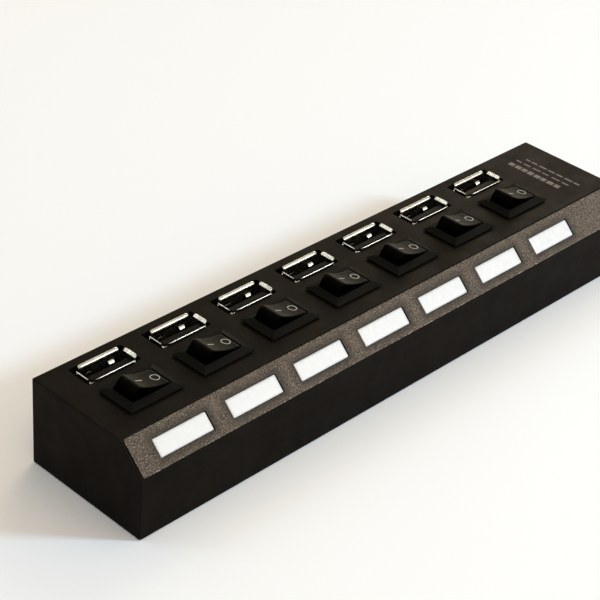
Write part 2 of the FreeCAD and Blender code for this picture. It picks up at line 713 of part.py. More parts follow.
def rocker(x):
    """A hollow rocker with a stem for the plunger and a trunnion each side, level."""
    outer = rocker_outline(0.0).extrude(Vector(0, ROCKER_W, 0))
    outer.translate(Vector(0, -ROCKER_W / 2, 0))
    under_z = ROCKER_R * math.cos(math.radians(SKIRT_DEG))

    def is_ridge(edge):
        return edge.BoundBox.YLength > ROCKER_W - 0.01 and edge.BoundBox.ZMin > 0

    def on_side(edge):
        return edge.BoundBox.YLength < 0.01 and edge.BoundBox.ZMax > under_z + 0.01

    outer = outer.makeFillet(RIDGE_R, [e for e in outer.Edges if is_ridge(e)])
    outer = outer.makeFillet(ROCKER_EDGE_R, [e for e in outer.Edges if on_side(e)])
    inner_w = ROCKER_W - 2 * ROCKER_WALL
    inner = rocker_outline(ROCKER_WALL).extrude(Vector(0, inner_w, 0))
    inner.translate(Vector(0, -inner_w / 2, 0))
    drop = block(0, 0, under_z - 1, 1.9 * (ROCKER_R - ROCKER_WALL), inner_w, 1.5)
    stem = block(0, 0, -STEM_LEN, STEM_W, STEM_W, STEM_LEN + STEM_TOP)
    trunnions = cross_rod(
        0, -ROCKER_W / 2 - TRUNNION_L, ROCKER_W / 2 + TRUNNION_L, 0, TRUNNION_R)
    core = cross_rod(0, -ROCKER_W / 2, ROCKER_W / 2, 0, TRUNNION_R + TRUNNION_BOSS)
    bore = rod(0, 0, -STEM_LEN - 1, PLUNGER_R + PLUNGER_GAP, STEM_LEN + 1 - PLUNGER_IN)
    solid = join(outer.cut([inner, drop]), stem, trunnions, core).cut(bore)
    solid.translate(Vector(x, SWITCH_Y, PIVOT_Z))
    return solid


def plunger(x):
    """The round-nosed pin that presses on the contact blade, upright."""
    length = PLUNGER_LEN - PLUNGER_IN
    pin = rod(0, 0, -PLUNGER_LEN + PLUNGER_R, PLUNGER_R, length - PLUNGER_R)
    nose = Part.makeSphere(PLUNGER_R, Vector(0, 0, -PLUNGER_LEN + PLUNGER_R))
    solid = join(pin, nose)
    solid.translate(Vector(x, SWITCH_Y, PIVOT_Z))
    return solid


def tilted(solid, x):
    """Turns a rocker's piece to off: its right end down."""
    solid.rotate(Vector(x, SWITCH_Y, PIVOT_Z), LEFT_DOWN, -TILT_DEG)
    return solid


def contact_blade(x):
    """The rocking blade on its fulcrum, with its left end down."""
    blade = block(x, SWITCH_Y, FULCRUM_Z, BLADE_L, BLADE_W, BLADE_T)
    blade.rotate(Vector(x, SWITCH_Y, FULCRUM_Z), LEFT_DOWN, BLADE_DEG)
    return blade


def switch_terminals(x):
    """The middle terminal, with a rounded fulcrum, and the working terminal."""
    half = TERMINAL_T / 2
    stem = block(
        x, SWITCH_Y, TAIL_Z, TERMINAL_T, TERMINAL_W, FULCRUM_Z - half - TAIL_Z)
    y0 = SWITCH_Y - TERMINAL_W / 2
    fulcrum = cross_rod(x, y0, y0 + TERMINAL_W, FULCRUM_Z - half, half)
    working = block(
        x + TERMINAL_X, SWITCH_Y, TAIL_Z, TERMINAL_T, TERMINAL_W, TERMINAL_TOP - TAIL_Z)
    return [join(stem, fulcrum), working]


# ---- inlets at the right-hand end --------------------------------------------------------------
def upstream_parts():
    """Mini USB socket: its shell, its insulator and five contacts."""
    x1 = INLET_FACE
    x0 = x1 - UPSTREAM_LEN
    half = UPSTREAM_W / 2
    t = SHELL_T
    z0 = BOARD_TOP
    z1 = z0 + UPSTREAM_H

    def outline(inset):
        foot_half = half - UPSTREAM_NARROW
        return [
            (UPSTREAM_Y - foot_half + inset, z0 + inset),
            (UPSTREAM_Y + foot_half - inset, z0 + inset),
            (UPSTREAM_Y + half - inset, z0 + UPSTREAM_STEP),
            (UPSTREAM_Y + half - inset, z1 - inset),
            (UPSTREAM_Y - half + inset, z1 - inset),
            (UPSTREAM_Y - half + inset, z0 + UPSTREAM_STEP),
        ]

    shell = prism_x(outline(0.0), x0, x1).cut(prism_x(outline(t), x0 - 1, x1 + 1))
    base_x = x0 + UPSTREAM_BASE
    base = prism_x(outline(t + 0.03), x0, base_x)
    tongue_half, tongue_t = UPSTREAM_TONGUE
    tongue_z = z0 + UPSTREAM_H / 2
    tongue = box(
        base_x - 0.5, x1 - 1.0, UPSTREAM_Y - tongue_half, UPSTREAM_Y + tongue_half,
        tongue_z, tongue_z + tongue_t)
    width, thickness = UPSTREAM_CONTACT
    contacts = [
        box(base_x, x1 - 1.3, UPSTREAM_Y + dy - width / 2, UPSTREAM_Y + dy + width / 2,
            tongue_z - thickness, tongue_z)
        for dy in UPSTREAM_CONTACT_Y
    ]
    return shell, join(base, tongue), contacts


def power_jack():
    """Barrel jack: its body with a round collar in the wall, and its centre pin."""
    inner_face = LENGTH / 2 - WALL
    z = BOARD_TOP + JACK_H / 2
    body = block(
        inner_face - JACK_LEN / 2, JACK_Y, BOARD_TOP, JACK_LEN, JACK_W, JACK_H)
    collar = end_rod(inner_face - 0.5, INLET_FACE, JACK_Y, z, JACK_COLLAR_R)
    bore = end_rod(INLET_FACE - JACK_DEPTH, INLET_FACE + 1, JACK_Y, z, JACK_BORE_R)
    body = join(body, collar).cut(bore)
    pin_x0 = INLET_FACE - JACK_DEPTH
    pin = end_rod(pin_x0, INLET_FACE - 1.5, JACK_Y, z, JACK_PIN_R)
    return body, pin


# ---- build -------------------------------------------------------------------------------------
os.makedirs("parts", exist_ok=True)

save("top_shell", top_shell())
save("bottom_cover", bottom_cover())
save("cover_screws", *[cover_screw(sx, sy) for sx, sy in CORNERS])
save("rubber_feet", *[foot(sx, sy) for sx, sy in CORNERS])
save("label_film", label_film())
save("light_windows", *[window(x) for x in STATION_X])

save("main_board", main_board())
save("hub_chips", hub_chip(GAP_X[1]), hub_chip(GAP_X[4]))
save("crystals", crystal(GAP_X[2]), crystal(GAP_X[5]))
save("capacitor_cans", *[electrolytic(CAN_X, y) for y in CAN_Y])
save("chip_resistors", *[chip_part(x + RESISTOR_X, LED_Y, RESISTOR) for x in STATION_X])
save("chip_capacitors", *[chip_part(x + CERAMIC_X, CERAMIC_Y, CERAMIC) for x in STATION_X])
save("status_leds", *[status_led(x) for x in STATION_X])

save("port_insulators", *[port_insulator(x) for x in STATION_X])
save("port_contacts", *[strip for x in STATION_X for strip in port_contacts(x)])
save("switch_terminals", *[t for x in STATION_X for t in switch_terminals(x)])

for number, station in enumerate(STATION_X, 1):
    save(f"port_shell_{number}", port_shell(station))
    save(f"switch_housing_{number}", switch_housing(station))
    save(f"rocker_{number}", tilted(rocker(station), station))
    save(f"plunger_{number}", tilted(plunger(station), station))
    save(f"contact_blade_{number}", contact_blade(station))

socket_shell, socket_insulator, socket_contacts = upstream_parts()
save("upstream_shell", socket_shell)
save("upstream_insulator", socket_insulator)
save("upstream_contacts", *socket_contacts)
jack_body, jack_pin = power_jack()
save("power_jack_body", jack_body)
save("power_jack_pin", jack_pin)
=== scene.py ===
"""Looks of a seven-port USB hub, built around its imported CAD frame.

Metres. +X runs along the ports to the inlet end, +Y to the back, +Z up.
"""
import json
import math

import bmesh
import bpy
from mathutils import Matrix, Vector


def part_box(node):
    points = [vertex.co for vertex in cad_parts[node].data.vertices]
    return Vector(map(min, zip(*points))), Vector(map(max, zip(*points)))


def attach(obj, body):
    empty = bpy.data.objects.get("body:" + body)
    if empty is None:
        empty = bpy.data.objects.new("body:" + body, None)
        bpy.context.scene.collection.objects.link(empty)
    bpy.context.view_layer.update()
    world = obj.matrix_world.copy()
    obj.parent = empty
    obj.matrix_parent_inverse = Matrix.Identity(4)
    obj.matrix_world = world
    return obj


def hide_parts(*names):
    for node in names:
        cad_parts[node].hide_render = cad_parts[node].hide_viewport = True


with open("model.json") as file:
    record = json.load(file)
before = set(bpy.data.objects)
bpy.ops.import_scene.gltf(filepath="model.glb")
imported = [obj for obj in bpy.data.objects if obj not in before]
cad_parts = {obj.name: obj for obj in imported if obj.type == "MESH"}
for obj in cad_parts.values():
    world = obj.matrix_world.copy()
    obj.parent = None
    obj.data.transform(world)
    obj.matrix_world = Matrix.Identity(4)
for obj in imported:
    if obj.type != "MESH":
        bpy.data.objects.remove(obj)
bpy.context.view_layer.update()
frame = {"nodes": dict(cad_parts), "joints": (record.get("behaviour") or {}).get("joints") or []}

MM = 0.001
STATIONS = 7

# ---- places, read from the frame ---------------------------------------------------------------
JOINTS = {joint["name"]: joint for joint in frame["joints"]}
HUB_LOW, HUB_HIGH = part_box("top_shell")
TOP = HUB_HIGH.z
TILT = math.radians(JOINTS["rocker_1_tilt"]["range_deg"][1] / 2)


def middle(node):
    low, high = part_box(node)
    return (low + high) / 2


SWITCH_AT = [middle(f"switch_housing_{k}") for k in range(1, STATIONS + 1)]
PORT_AT = [middle(f"port_shell_{k}") for k in range(1, STATIONS + 1)]
PITCH = SWITCH_AT[1].x - SWITCH_AT[0].x

# ---- sizes of the visual pieces ----------------------------------------------------------------
SHEET = 0.22 * MM                 # steel of the port shells
SHEET_EDGE = 0.05 * MM            # softening of its edges
MOUTH_X = 12.5 * MM
MOUTH_Y = 5.12 * MM
SHELL_CORNER = 0.6 * MM
LIP_BASE = TOP - 0.22 * MM
LIP_RISE = 0.72 * MM
LIP_ROOT = 0.62 * MM              # upright wall of a lip, below its bend
LIP_CORNER = 0.45 * MM            # rounding of a lip's free corners
LIP_BENDS = 8                     # steps round a lip's bend
LIP_STEPS = 6                     # steps from the bend to the free edge
LONG_LIP = (11.1 * MM, 0.70 * MM, 0.62 * MM)    # length, outward reach and bend's radius
SHORT_LIP = (4.0 * MM, 0.67 * MM, 0.20 * MM)
RIM = TOP - 0.52 * MM             # top of the folded tube, under the lips
RIM_BEVEL = 0.22 * MM             # how far the tube's outside stops below its rim
LEG_W = 2.0 * MM
LEG_H = 3.3 * MM
SPRING_X = 3.14 * MM
SPRING_W = 1.9 * MM
SPRING_TAPER = 0.15 * MM          # half width lost from root to tip
SPRING_LOW = 13.8 * MM
SPRING_BUMP = 20.2 * MM
SPRING_TIP = 20.8 * MM
SPRING_CURL = 0.62 * MM           # how far the tip turns back from the bump
BUMP_BACK = 0.75 * MM             # springs' bumps into the mouth
BUMP_FRONT = 0.42 * MM
LEFT_SPRING = (0.45, 0.3 * MM, 0.08 * MM)       # share of the bump, sag and curl
SLOT_W = 2.2 * MM
SLOT_DEEP = 1.2 * MM
SLOT_RAISE = 0.15 * MM            # a slot's middle above its spring's middle

ROCKER_R = 5.5 * MM               # pivot to the ridge at either end of a rocker's top
RIDGE = math.radians(52.5)        # ridge's angle from straight up, the rocker level
DISH = 0.5 * MM                   # depth of the hollow in a rocker's top
INK = 0.02 * MM                   # print's height above the rocker
INK_ROOT = 0.06 * MM              # print's depth below its surface
RING_U = 2.75 * MM                # ring's middle, along the rocker from its pivot
RING_R = (1.13 * MM, 0.90 * MM)   # outer and inner radius
RING_POINTS = 48
BAR_U = -1.95 * MM
BAR = (1.00 * MM, 0.14 * MM, 0.07 * MM)         # half length, half width and corner
BAR_CORE = (0.90 * MM, 0.02 * MM, 0.01 * MM)

FILM_END = 0.95 * MM              # film's end to the end face
FILM_LOW = 0.3 * MM               # film's lower edge to the slope's lower edge
FILM_HIGH = 0.4 * MM
FILM_DEPTH = 0.05 * MM            # film's face below the slope's face
FILM_T = 0.25 * MM
FILM_CORNER = 0.35 * MM
FILM_WAVE = 0.010 * MM            # unevenness of the film's face
FILM_DRIFT = 0.012 * MM
FILM_PRESS = 0.045 * MM           # how deep the film is pressed at a window's edge
PRESS_REACH = 0.75 * MM           # width of the pressed stretch
SHADE_REACH = 1.25 * MM           # width of the painted shade round a window
# Shares of the way from a window's edge to its cell's outline:
FILM_RINGS = (0.0, 0.03, 0.07, 0.13, 0.21, 0.31, 0.43, 0.56, 0.70, 0.85, 1.0)
FILM_SIDE_STEPS = 24              # vertices along each side of a cell
SLOPE_FOOT = 15.63 * MM           # height of the slope's lower edge
SLOPE_RUN = 7.06 * MM
WINDOW_X = 15.1 * MM
WINDOW_Y = 4.57 * MM
WINDOW_LOW = 2.23 * MM            # slope's lower edge to the window
WINDOW_SHIFT = -0.3 * MM
WINDOW_CORNER = 0.32 * MM
PANE_CORNER = 0.12 * MM           # least corner radius of a pane
PANE_PROFILE = (                  # millimetres in from the window's edge, and below the slope
    (0.12, 1.60), (0.12, 0.44), (0.16, 0.37), (0.24, 0.325), (0.6, 0.30), (1.2, 0.29), (2.0, 0.285),
)

SLOPE_RISE = TOP - SLOPE_FOOT
SLOPE_LEN = math.hypot(SLOPE_RUN, SLOPE_RISE)
FILM_TOP = SLOPE_LEN - FILM_HIGH  # film's upper edge, up the slope
FILM_RIGHT = HUB_HIGH.x - FILM_END
WINDOW_MID = WINDOW_LOW + WINDOW_Y / 2
SLOPE_FRAME = (
    Matrix.Translation((0, HUB_LOW.y, SLOPE_FOOT))
    @ Matrix.Rotation(math.atan2(SLOPE_RISE, SLOPE_RUN), 4, "X")
)

DASH_BOTTOM = -0.03               # millimetres from the top face
DASH_TOP = 0.015
DASH_CORNER = 0.12 * MM
DASH_ROWS = (                     # millimetres: x, height, and each dash's y and length
    (70.6, 1.5, ((-2.9, 1.6), (-0.7, 1.9), (1.5, 1.5), (3.5, 1.8), (5.7, 1.6), (7.7, 1.5),
                 (9.7, 1.8), (11.9, 1.6))),
    (73.3, 0.5, ((-3.5, 2.2), (-0.4, 2.6), (2.9, 2.0), (5.8, 2.6), (8.9, 2.2), (11.6, 1.8))),
    (75.6, 0.6, ((-5.4, 1.8), (-2.8, 2.4), (0.1, 2.0), (2.7, 2.2), (5.5, 2.4), (8.3, 1.8),
                 (10.4, 1.4))),
)
CREASE = math.radians(35)         # sharper edges than this stay crisp
WELD = 1e-7                       # metres: vertices closer than this are joined
FILM_WELD = 2e-7


# ---- node helpers ------------------------------------------------------------------------------
class Nodes:
    """A material's node tree, written as calls that return sockets."""

    def __init__(self, name):
        self.material = bpy.data.materials.new(name)
        self.material.use_nodes = True
        self.tree = self.material.node_tree
        self.shader = self.tree.nodes["Principled BSDF"]
        where = self.add("ShaderNodeTexCoord")
        self.place = where.outputs["Object"]

    def add(self, kind, **settings):
        node = self.tree.nodes.new(kind)
        for key, value in settings.items():
            setattr(node, key, value)
        return node

    def feed(self, socket, value):
        if isinstance(value, bpy.types.NodeSocket):
            self.tree.links.new(value, socket)
        else:
            socket.default_value = value

    def set(self, **inputs):
        """Feeds the shader: set(Base_Color=..., Roughness=...)."""
        for key, value in inputs.items():
            self.feed(self.shader.inputs[key.replace("_", " ")], value)

    def noise(self, size, detail=3.0, roughness=0.5, stretch=(1, 1, 1)):
        """A cloudy pattern whose features are about size metres across, from 0 to 1."""
        mapping = self.add("ShaderNodeMapping")
        self.feed(mapping.inputs["Vector"], self.place)
        self.feed(mapping.inputs["Scale"], stretch)
        node = self.add("ShaderNodeTexNoise")
        self.feed(node.inputs["Vector"], mapping.outputs["Vector"])
        self.feed(node.inputs["Scale"], 1 / size)
        self.feed(node.inputs["Detail"], detail)
        self.feed(node.inputs["Roughness"], roughness)
        return node.outputs["Fac"]

    def maths(self, operation, a, b=0.0, c=0.0):
        node = self.add("ShaderNodeMath", operation=operation)
        for socket, value in zip(node.inputs, (a, b, c)):
            self.feed(socket, value)
        return node.outputs[0]

    def spread(self, value, low, high, to_low=0.0, to_high=1.0):
        """Maps low..high onto to_low..to_high, held at both ends."""
        node = self.add("ShaderNodeMapRange", interpolation_type="SMOOTHSTEP")
        for socket, number in zip(node.inputs[:5], (value, low, high, to_low, to_high)):
            self.feed(socket, number)
        return node.outputs["Result"]

    def mix(self, factor, a, b):
        """Blends two colours or colour sockets."""
        node = self.add("ShaderNodeMix", data_type="RGBA")
        self.feed(node.inputs[0], factor)
        for socket, value in ((node.inputs[6], a), (node.inputs[7], b)):
            self.feed(socket, value if isinstance(value, bpy.types.NodeSocket) else (*value, 1.0))
        return node.outputs[2]

    def bump(self, height, depth, under=None):
        """Relief of this depth, laid over the relief under it if there is one."""
        node = self.add("ShaderNodeBump")
        self.feed(node.inputs["Height"], height)
        self.feed(node.inputs["Distance"], depth)
        if under is not None:
            self.feed(node.inputs["Normal"], under)
        return node.outputs["Normal"]

    def parts(self):
        """The place's x, y and z."""
        node = self.add("ShaderNodeSeparateXYZ")
        self.feed(node.inputs[0], self.place)
        return node.outputs


# ---- materials ---------------------------------------------------------------------------------
def moulded(name, dark, light, rough, grain=0.22, depth=0.012, gloss=0.25):
    """Moulded plastic: spark-eroded grain, faint flow marks and handling marks in the gloss."""
    nodes = Nodes(name)
    cloud = nodes.noise(9 * MM, 4)
    speck = nodes.noise(grain * MM, 2, 0.6)
    tone = nodes.maths("MULTIPLY_ADD", cloud, 0.6, nodes.maths("MULTIPLY", speck, 0.4))
    nodes.set(
        Base_Color=nodes.mix(nodes.spread(tone, 0.3, 0.7), dark, light),
        Roughness=nodes.spread(nodes.noise(5 * MM, 5, 0.6), 0.3, 0.7, rough - 0.05, rough + 0.06),
        Normal=nodes.bump(speck, depth * MM),
        Specular_IOR_Level=gloss,
    )
    return nodes.material


def rubbed_and_edge_lit_housing():
    """The housing's matte grain, rubbed a little smoother along its long edges, where a painted highlight
    also makes it paler.
    """
    nodes = Nodes("housing_plastic")
    x, y, z = nodes.parts()
    to_end = nodes.maths("SUBTRACT", HUB_HIGH.x, nodes.maths("ABSOLUTE", x))
    to_side = nodes.maths("SUBTRACT", HUB_HIGH.y, nodes.maths("ABSOLUTE", y))
    to_top = nodes.maths("SUBTRACT", TOP, z)
    total = nodes.maths("ADD", nodes.maths("ADD", to_end, to_side), to_top)
    furthest = nodes.maths("MAXIMUM", nodes.maths("MAXIMUM", to_end, to_side), to_top)
    near_edge = nodes.maths("SUBTRACT", total, furthest)
    ragged = nodes.maths("MULTIPLY_ADD", nodes.noise(2 * MM, 4), 0.5 * MM, near_edge)
    # edge band: the lower roughness is real rubbing, the paler colour is a painted highlight along the
    # edges
    edge = nodes.spread(ragged, 0.35 * MM, 0.8 * MM, 1.0, 0.0)
    grain = nodes.noise(0.2 * MM, 2, 0.6)
    cloud = nodes.noise(14 * MM, 5, 0.55)
    plain = nodes.mix(nodes.spread(cloud, 0.35, 0.65), (0.0030, 0.0020, 0.0013),
                      (0.0043, 0.0029, 0.0019))
    speckled = nodes.mix(nodes.spread(grain, 0.45, 0.8), plain, (0.0090, 0.0066, 0.0044))
    dusty = nodes.maths("MULTIPLY", nodes.spread(nodes.noise(1.1 * MM, 6, 0.7), 0.62, 0.8), 0.3)
    dull = nodes.mix(dusty, speckled, (0.020, 0.016, 0.012))
    rough = nodes.spread(nodes.noise(6 * MM, 5, 0.6), 0.3, 0.7, 0.48, 0.60)
    nodes.set(
        Base_Color=nodes.mix(nodes.maths("MULTIPLY", edge, 0.12), dull, (0.016, 0.013, 0.010)),
        Roughness=nodes.maths("MULTIPLY_ADD", edge, -0.10, rough),
        Normal=nodes.bump(grain, 0.010 * MM),
        Specular_IOR_Level=0.042,
    )
    return nodes.material


def slope_distance(nodes):
    """Distance up the slope from its lower edge."""
    _, y, z = nodes.parts()
    along = nodes.maths("MULTIPLY_ADD", y, SLOPE_RUN / SLOPE_LEN, -HUB_LOW.y * SLOPE_RUN / SLOPE_LEN)
    rise = nodes.maths("SUBTRACT", z, SLOPE_FOOT)
    return nodes.maths("MULTIPLY_ADD", rise, SLOPE_RISE / SLOPE_LEN, along)


def velvet_film():
    """Textured polycarbonate film: pebbled grain, painted glints, painted shade round the windows, and
    pale spots along its lower edge.
    """
    nodes = Nodes("label_film")
    pebble = nodes.noise(0.22 * MM, 2, 0.65)
    fleck = nodes.noise(0.36 * MM, 2, 0.6)
    sparkle = nodes.noise(0.26 * MM, 1, 0.5)
    cloud = nodes.noise(5.5 * MM, 3, 0.55)
    shade = nodes.add("ShaderNodeAttribute", attribute_name="near_window").outputs["Fac"]
    grains = nodes.maths("MULTIPLY_ADD", pebble, 0.75, nodes.maths("MULTIPLY", fleck, 0.45))
    tone = nodes.maths("MULTIPLY_ADD", cloud, 0.18, grains)
    ink = nodes.mix(nodes.spread(tone, 0.52, 0.84), (0.004, 0.0028, 0.0018), (0.124, 0.091, 0.065))
    # painted glints: pale spots in the colour that stand for light glinting off the film's grain
    painted_glint = nodes.mix(nodes.spread(sparkle, 0.60, 0.70), ink, (0.27, 0.208, 0.150))
    # painted shade: the film is darker round each window, standing for the shading where it is pressed
    # down
    pressed = nodes.mix(nodes.maths("MULTIPLY", shade, 0.78), painted_glint, (0.015, 0.011, 0.008))
    low_edge = nodes.spread(slope_distance(nodes), FILM_LOW, FILM_LOW + 0.35 * MM, 1.0, 0.0)
    edge_spots = nodes.spread(nodes.noise(0.55 * MM, 2, 0.6), 0.55, 0.68)
    patchy = nodes.mix(nodes.maths("MULTIPLY", low_edge, edge_spots), pressed, (0.40, 0.35, 0.30))
    grained = nodes.bump(pebble, 0.05 * MM)
    nodes.set(
        Base_Color=patchy,
        Roughness=nodes.spread(sparkle, 0.3, 0.75, 0.62, 0.42),
        Normal=nodes.bump(cloud, 0.03 * MM, under=grained),
        Specular_IOR_Level=0.20,
    )
    return nodes.material


def window_plastic():
    """Milky diffuser plastic."""
    nodes = Nodes("window_diffuser")
    cloud = nodes.noise(1.6 * MM, 4, 0.6)
    grain = nodes.noise(0.35 * MM, 2)
    nodes.set(
        Base_Color=nodes.mix(nodes.spread(cloud, 0.3, 0.7), (0.575, 0.572, 0.565), (0.635, 0.632, 0.625)),
        Roughness=nodes.spread(cloud, 0.3, 0.7, 0.34, 0.46),
        Normal=nodes.bump(grain, 0.008 * MM),
        Subsurface_Weight=0.35,
        Subsurface_Radius=(0.9 * MM, 0.9 * MM, 1.0 * MM),
        Subsurface_Scale=1.0,
    )
    return nodes.material


def plated(name, dull, bright, rough, scratch=(1, 1, 1), size=0.9):
    """Plated sheet metal: drawn streaks, faint tarnish and uneven gloss."""
    nodes = Nodes(name)
    streak = nodes.noise(size * MM, 5, 0.6, scratch)
    tarnish = nodes.noise(2.2 * MM, 4, 0.6)
    nodes.set(
        Base_Color=nodes.mix(nodes.spread(tarnish, 0.35, 0.62), dull, bright),
        Metallic=1.0,
        Roughness=nodes.spread(streak, 0.25, 0.75, rough - 0.06, rough + 0.08),
        Normal=nodes.bump(streak, 0.004 * MM),
    )
    return nodes.material


def rocker_plastic():
    """Black rocker, with a painted sheen and finger smears on what faces up; the sheen stands for light
    reflected at a grazing angle off the hollowed top.
    """
    nodes = Nodes("rocker_plastic")
    smear = nodes.noise(1.6 * MM, 5, 0.6)
    normal = nodes.add("ShaderNodeNewGeometry").outputs["Normal"]
    facing = nodes.add("ShaderNodeSeparateXYZ")
    nodes.feed(facing.inputs[0], normal)
    upward = nodes.spread(facing.outputs["Z"], 0.35, 0.9)
    # painted sheen: only faces that point up get it, standing for the grazing reflection on the hollowed
    # top
    painted_top_sheen = nodes.maths("MULTIPLY", upward, nodes.spread(smear, 0.3, 0.7, 0.19, 0.27))
    grain = nodes.noise(0.16 * MM, 2)
    nodes.set(
        Base_Color=nodes.mix(nodes.spread(smear, 0.3, 0.7), (0.0001, 0.0001, 0.0001),
                             (0.0004, 0.0003, 0.0002)),
        Roughness=nodes.spread(smear, 0.3, 0.7, 0.27, 0.38),
        Normal=nodes.bump(grain, 0.006 * MM),
        Specular_IOR_Level=0.002,
        Sheen_Weight=painted_top_sheen,
        Sheen_Roughness=0.40,
        Sheen_Tint=(1.0, 0.88, 0.64, 1.0),
    )
    return nodes.material


def white_ink(name, dark, light):
    """Pad-printed ink, thin in places."""
    nodes = Nodes(name)
    patchy = nodes.noise(0.3 * MM, 4, 0.65)
    nodes.set(
        Base_Color=nodes.mix(nodes.spread(patchy, 0.3, 0.62), dark, light),
        Roughness=nodes.spread(patchy, 0.3, 0.7, 0.55, 0.7),
        Normal=nodes.bump(patchy, 0.006 * MM),
    )
    return nodes.material


def solder_mask():
    """Green board with paler lines of copper under the mask."""
    nodes = Nodes("solder_mask")
    wave = nodes.add("ShaderNodeTexWave", wave_type="BANDS", bands_direction="Y")
    nodes.feed(wave.inputs["Vector"], nodes.place)
    nodes.feed(wave.inputs["Scale"], 160.0)
    nodes.feed(wave.inputs["Distortion"], 3.0)
    copper = nodes.spread(wave.outputs["Fac"], 0.7, 0.85)
    base = nodes.mix(nodes.noise(8 * MM, 3), (0.010, 0.085, 0.030), (0.014, 0.11, 0.040))
    nodes.set(
        Base_Color=nodes.mix(copper, base, (0.035, 0.20, 0.075)),
        Roughness=nodes.spread(nodes.noise(2 * MM, 4), 0.3, 0.7, 0.22, 0.34),
        Normal=nodes.bump(copper, 0.03 * MM),
    )
    return nodes.material


def lamp_resin():
    """Faintly cloudy clear resin."""
    nodes = Nodes("lamp_resin")
    cloud = nodes.noise(0.9 * MM, 3)
    nodes.set(
        Base_Color=nodes.mix(cloud, (0.72, 0.78, 0.86), (0.86, 0.90, 0.95)),
        Roughness=nodes.spread(cloud, 0.3, 0.7, 0.08, 0.18),
        Transmission_Weight=0.6,
    )
    return nodes.material


def rubber():
    """Matte rubber with dust caught in its pores."""
    nodes = Nodes("foot_rubber")
    dust = nodes.spread(nodes.noise(0.8 * MM, 6, 0.7), 0.52, 0.75)
    pores = nodes.noise(0.15 * MM, 2)
    nodes.set(
        Base_Color=nodes.mix(dust, (0.012, 0.012, 0.012), (0.06, 0.057, 0.052)),
        Roughness=nodes.spread(pores, 0.3, 0.7, 0.75, 0.9),
        Normal=nodes.bump(pores, 0.02 * MM),
        Specular_IOR_Level=0.25,
    )
    return nodes.material


HOUSING = rubbed_and_edge_lit_housing()
COVER = moulded("cover_plastic", (0.010, 0.009, 0.008), (0.016, 0.0145, 0.013), 0.6, 0.3, 0.02)
FILM = velvet_film()
DIFFUSER = window_plastic()
NICKEL = plated("port_nickel", (0.36, 0.375, 0.36), (0.52, 0.535, 0.52), 0.22, (1, 1, 6), 0.7)
SOCKET_METAL = plated("socket_metal", (0.60, 0.58, 0.54), (0.74, 0.72, 0.69), 0.26, (6, 1, 1))
SCREW_STEEL = plated("screw_zinc", (0.30, 0.29, 0.28), (0.48, 0.47, 0.45), 0.34)
CAN_METAL = plated("can_metal", (0.55, 0.55, 0.55), (0.70, 0.70, 0.69), 0.28)
TIN = plated("terminal_tin", (0.55, 0.55, 0.53), (0.72, 0.72, 0.70), 0.32)
GOLD = plated("contact_gold", (0.62, 0.42, 0.16), (0.86, 0.64, 0.28), 0.26, (1, 1, 5))
BRASS = plated("plunger_brass", (0.55, 0.38, 0.14), (0.78, 0.57, 0.24), 0.30)
BEZEL = moulded("bezel_plastic", (0.0026, 0.0025, 0.0021), (0.0056, 0.0055, 0.0046), 0.55, 0.18,
                0.006, 0.03)
# cut edges of the film: dark in themselves, and near-black as painted shade in the window openings and at
# the film's ends
FILM_EDGE = moulded("film_edge", (0.0015, 0.0013, 0.0011), (0.0035, 0.0030, 0.0025), 0.6, 0.2,
                    0.006, 0.05)
ROCKER = rocker_plastic()
INSULATOR = moulded("insulator_plastic", (0.0013, 0.0010, 0.0008), (0.0034, 0.0025, 0.0019), 0.5,
                    0.25, 0.008, 0.05)
JACK = moulded("jack_plastic", (0.012, 0.012, 0.012), (0.020, 0.020, 0.019), 0.45, 0.2)
EPOXY = moulded("chip_epoxy", (0.015, 0.015, 0.015), (0.028, 0.028, 0.027), 0.55, 0.12)
SLEEVE = moulded("can_sleeve", (0.012, 0.012, 0.020), (0.020, 0.020, 0.032), 0.25, 0.4, 0.006, 0.5)
CERAMIC = moulded("chip_ceramic", (0.30, 0.21, 0.13), (0.46, 0.34, 0.22), 0.45, 0.1)
BAR_INK = white_ink("bar_ink", (0.20, 0.175, 0.165), (0.34, 0.305, 0.29))
RING_INK = white_ink("ring_ink", (0.17, 0.165, 0.155), (0.32, 0.312, 0.297))
PRINT_INK = white_ink("print_ink", (0.055, 0.048, 0.040), (0.115, 0.102, 0.088))
BOARD = solder_mask()
RESIN = lamp_resin()
RUBBER = rubber()

CARRIED = {
    "top_shell": HOUSING,
    "bottom_cover": COVER,
    "cover_screws": SCREW_STEEL,
    "rubber_feet": RUBBER,
    "main_board": BOARD,
    "hub_chips": EPOXY,
    "crystals": CAN_METAL,
    "capacitor_cans": SLEEVE,
    "chip_resistors": EPOXY,
    "chip_capacitors": CERAMIC,
    "status_leds": RESIN,
    "port_insulators": INSULATOR,
    "port_contacts": GOLD,
    "switch_terminals": TIN,
    "upstream_shell": SOCKET_METAL,
    "upstream_insulator": INSULATOR,
    "upstream_contacts": GOLD,
    "power_jack_body": JACK,
    "power_jack_pin": SOCKET_METAL,
    "switch_housing": BEZEL,
    "rocker": ROCKER,
    "plunger": BRASS,
    "contact_blade": TIN,
    "label_film": FILM,
    "light_windows": DIFFUSER,
    "port_shell": NICKEL,
}


def dress_frame():
    """Gives every CAD node its material."""
    for name, obj in frame["nodes"].items():
        kind = name.rstrip("0123456789").rstrip("_")
        obj.data.materials.clear()
        obj.data.materials.append(CARRIED[kind])


# ---- mesh helpers ------------------------------------------------------------------------------
def rounded_rectangle(half_x, half_y, radius, steps=6):
    """Points of a rounded rectangle about the origin, counterclockwise."""
    points = []
    for turn, (sx, sy) in enumerate(((1, 1), (-1, 1), (-1, -1), (1, -1))):
        for step in range(steps + 1):
            angle = math.pi / 2 * (turn + step / steps)
            points.append((
                sx * (half_x - radius) + radius * math.cos(angle),
                sy * (half_y - radius) + radius * math.sin(angle)))
    return points


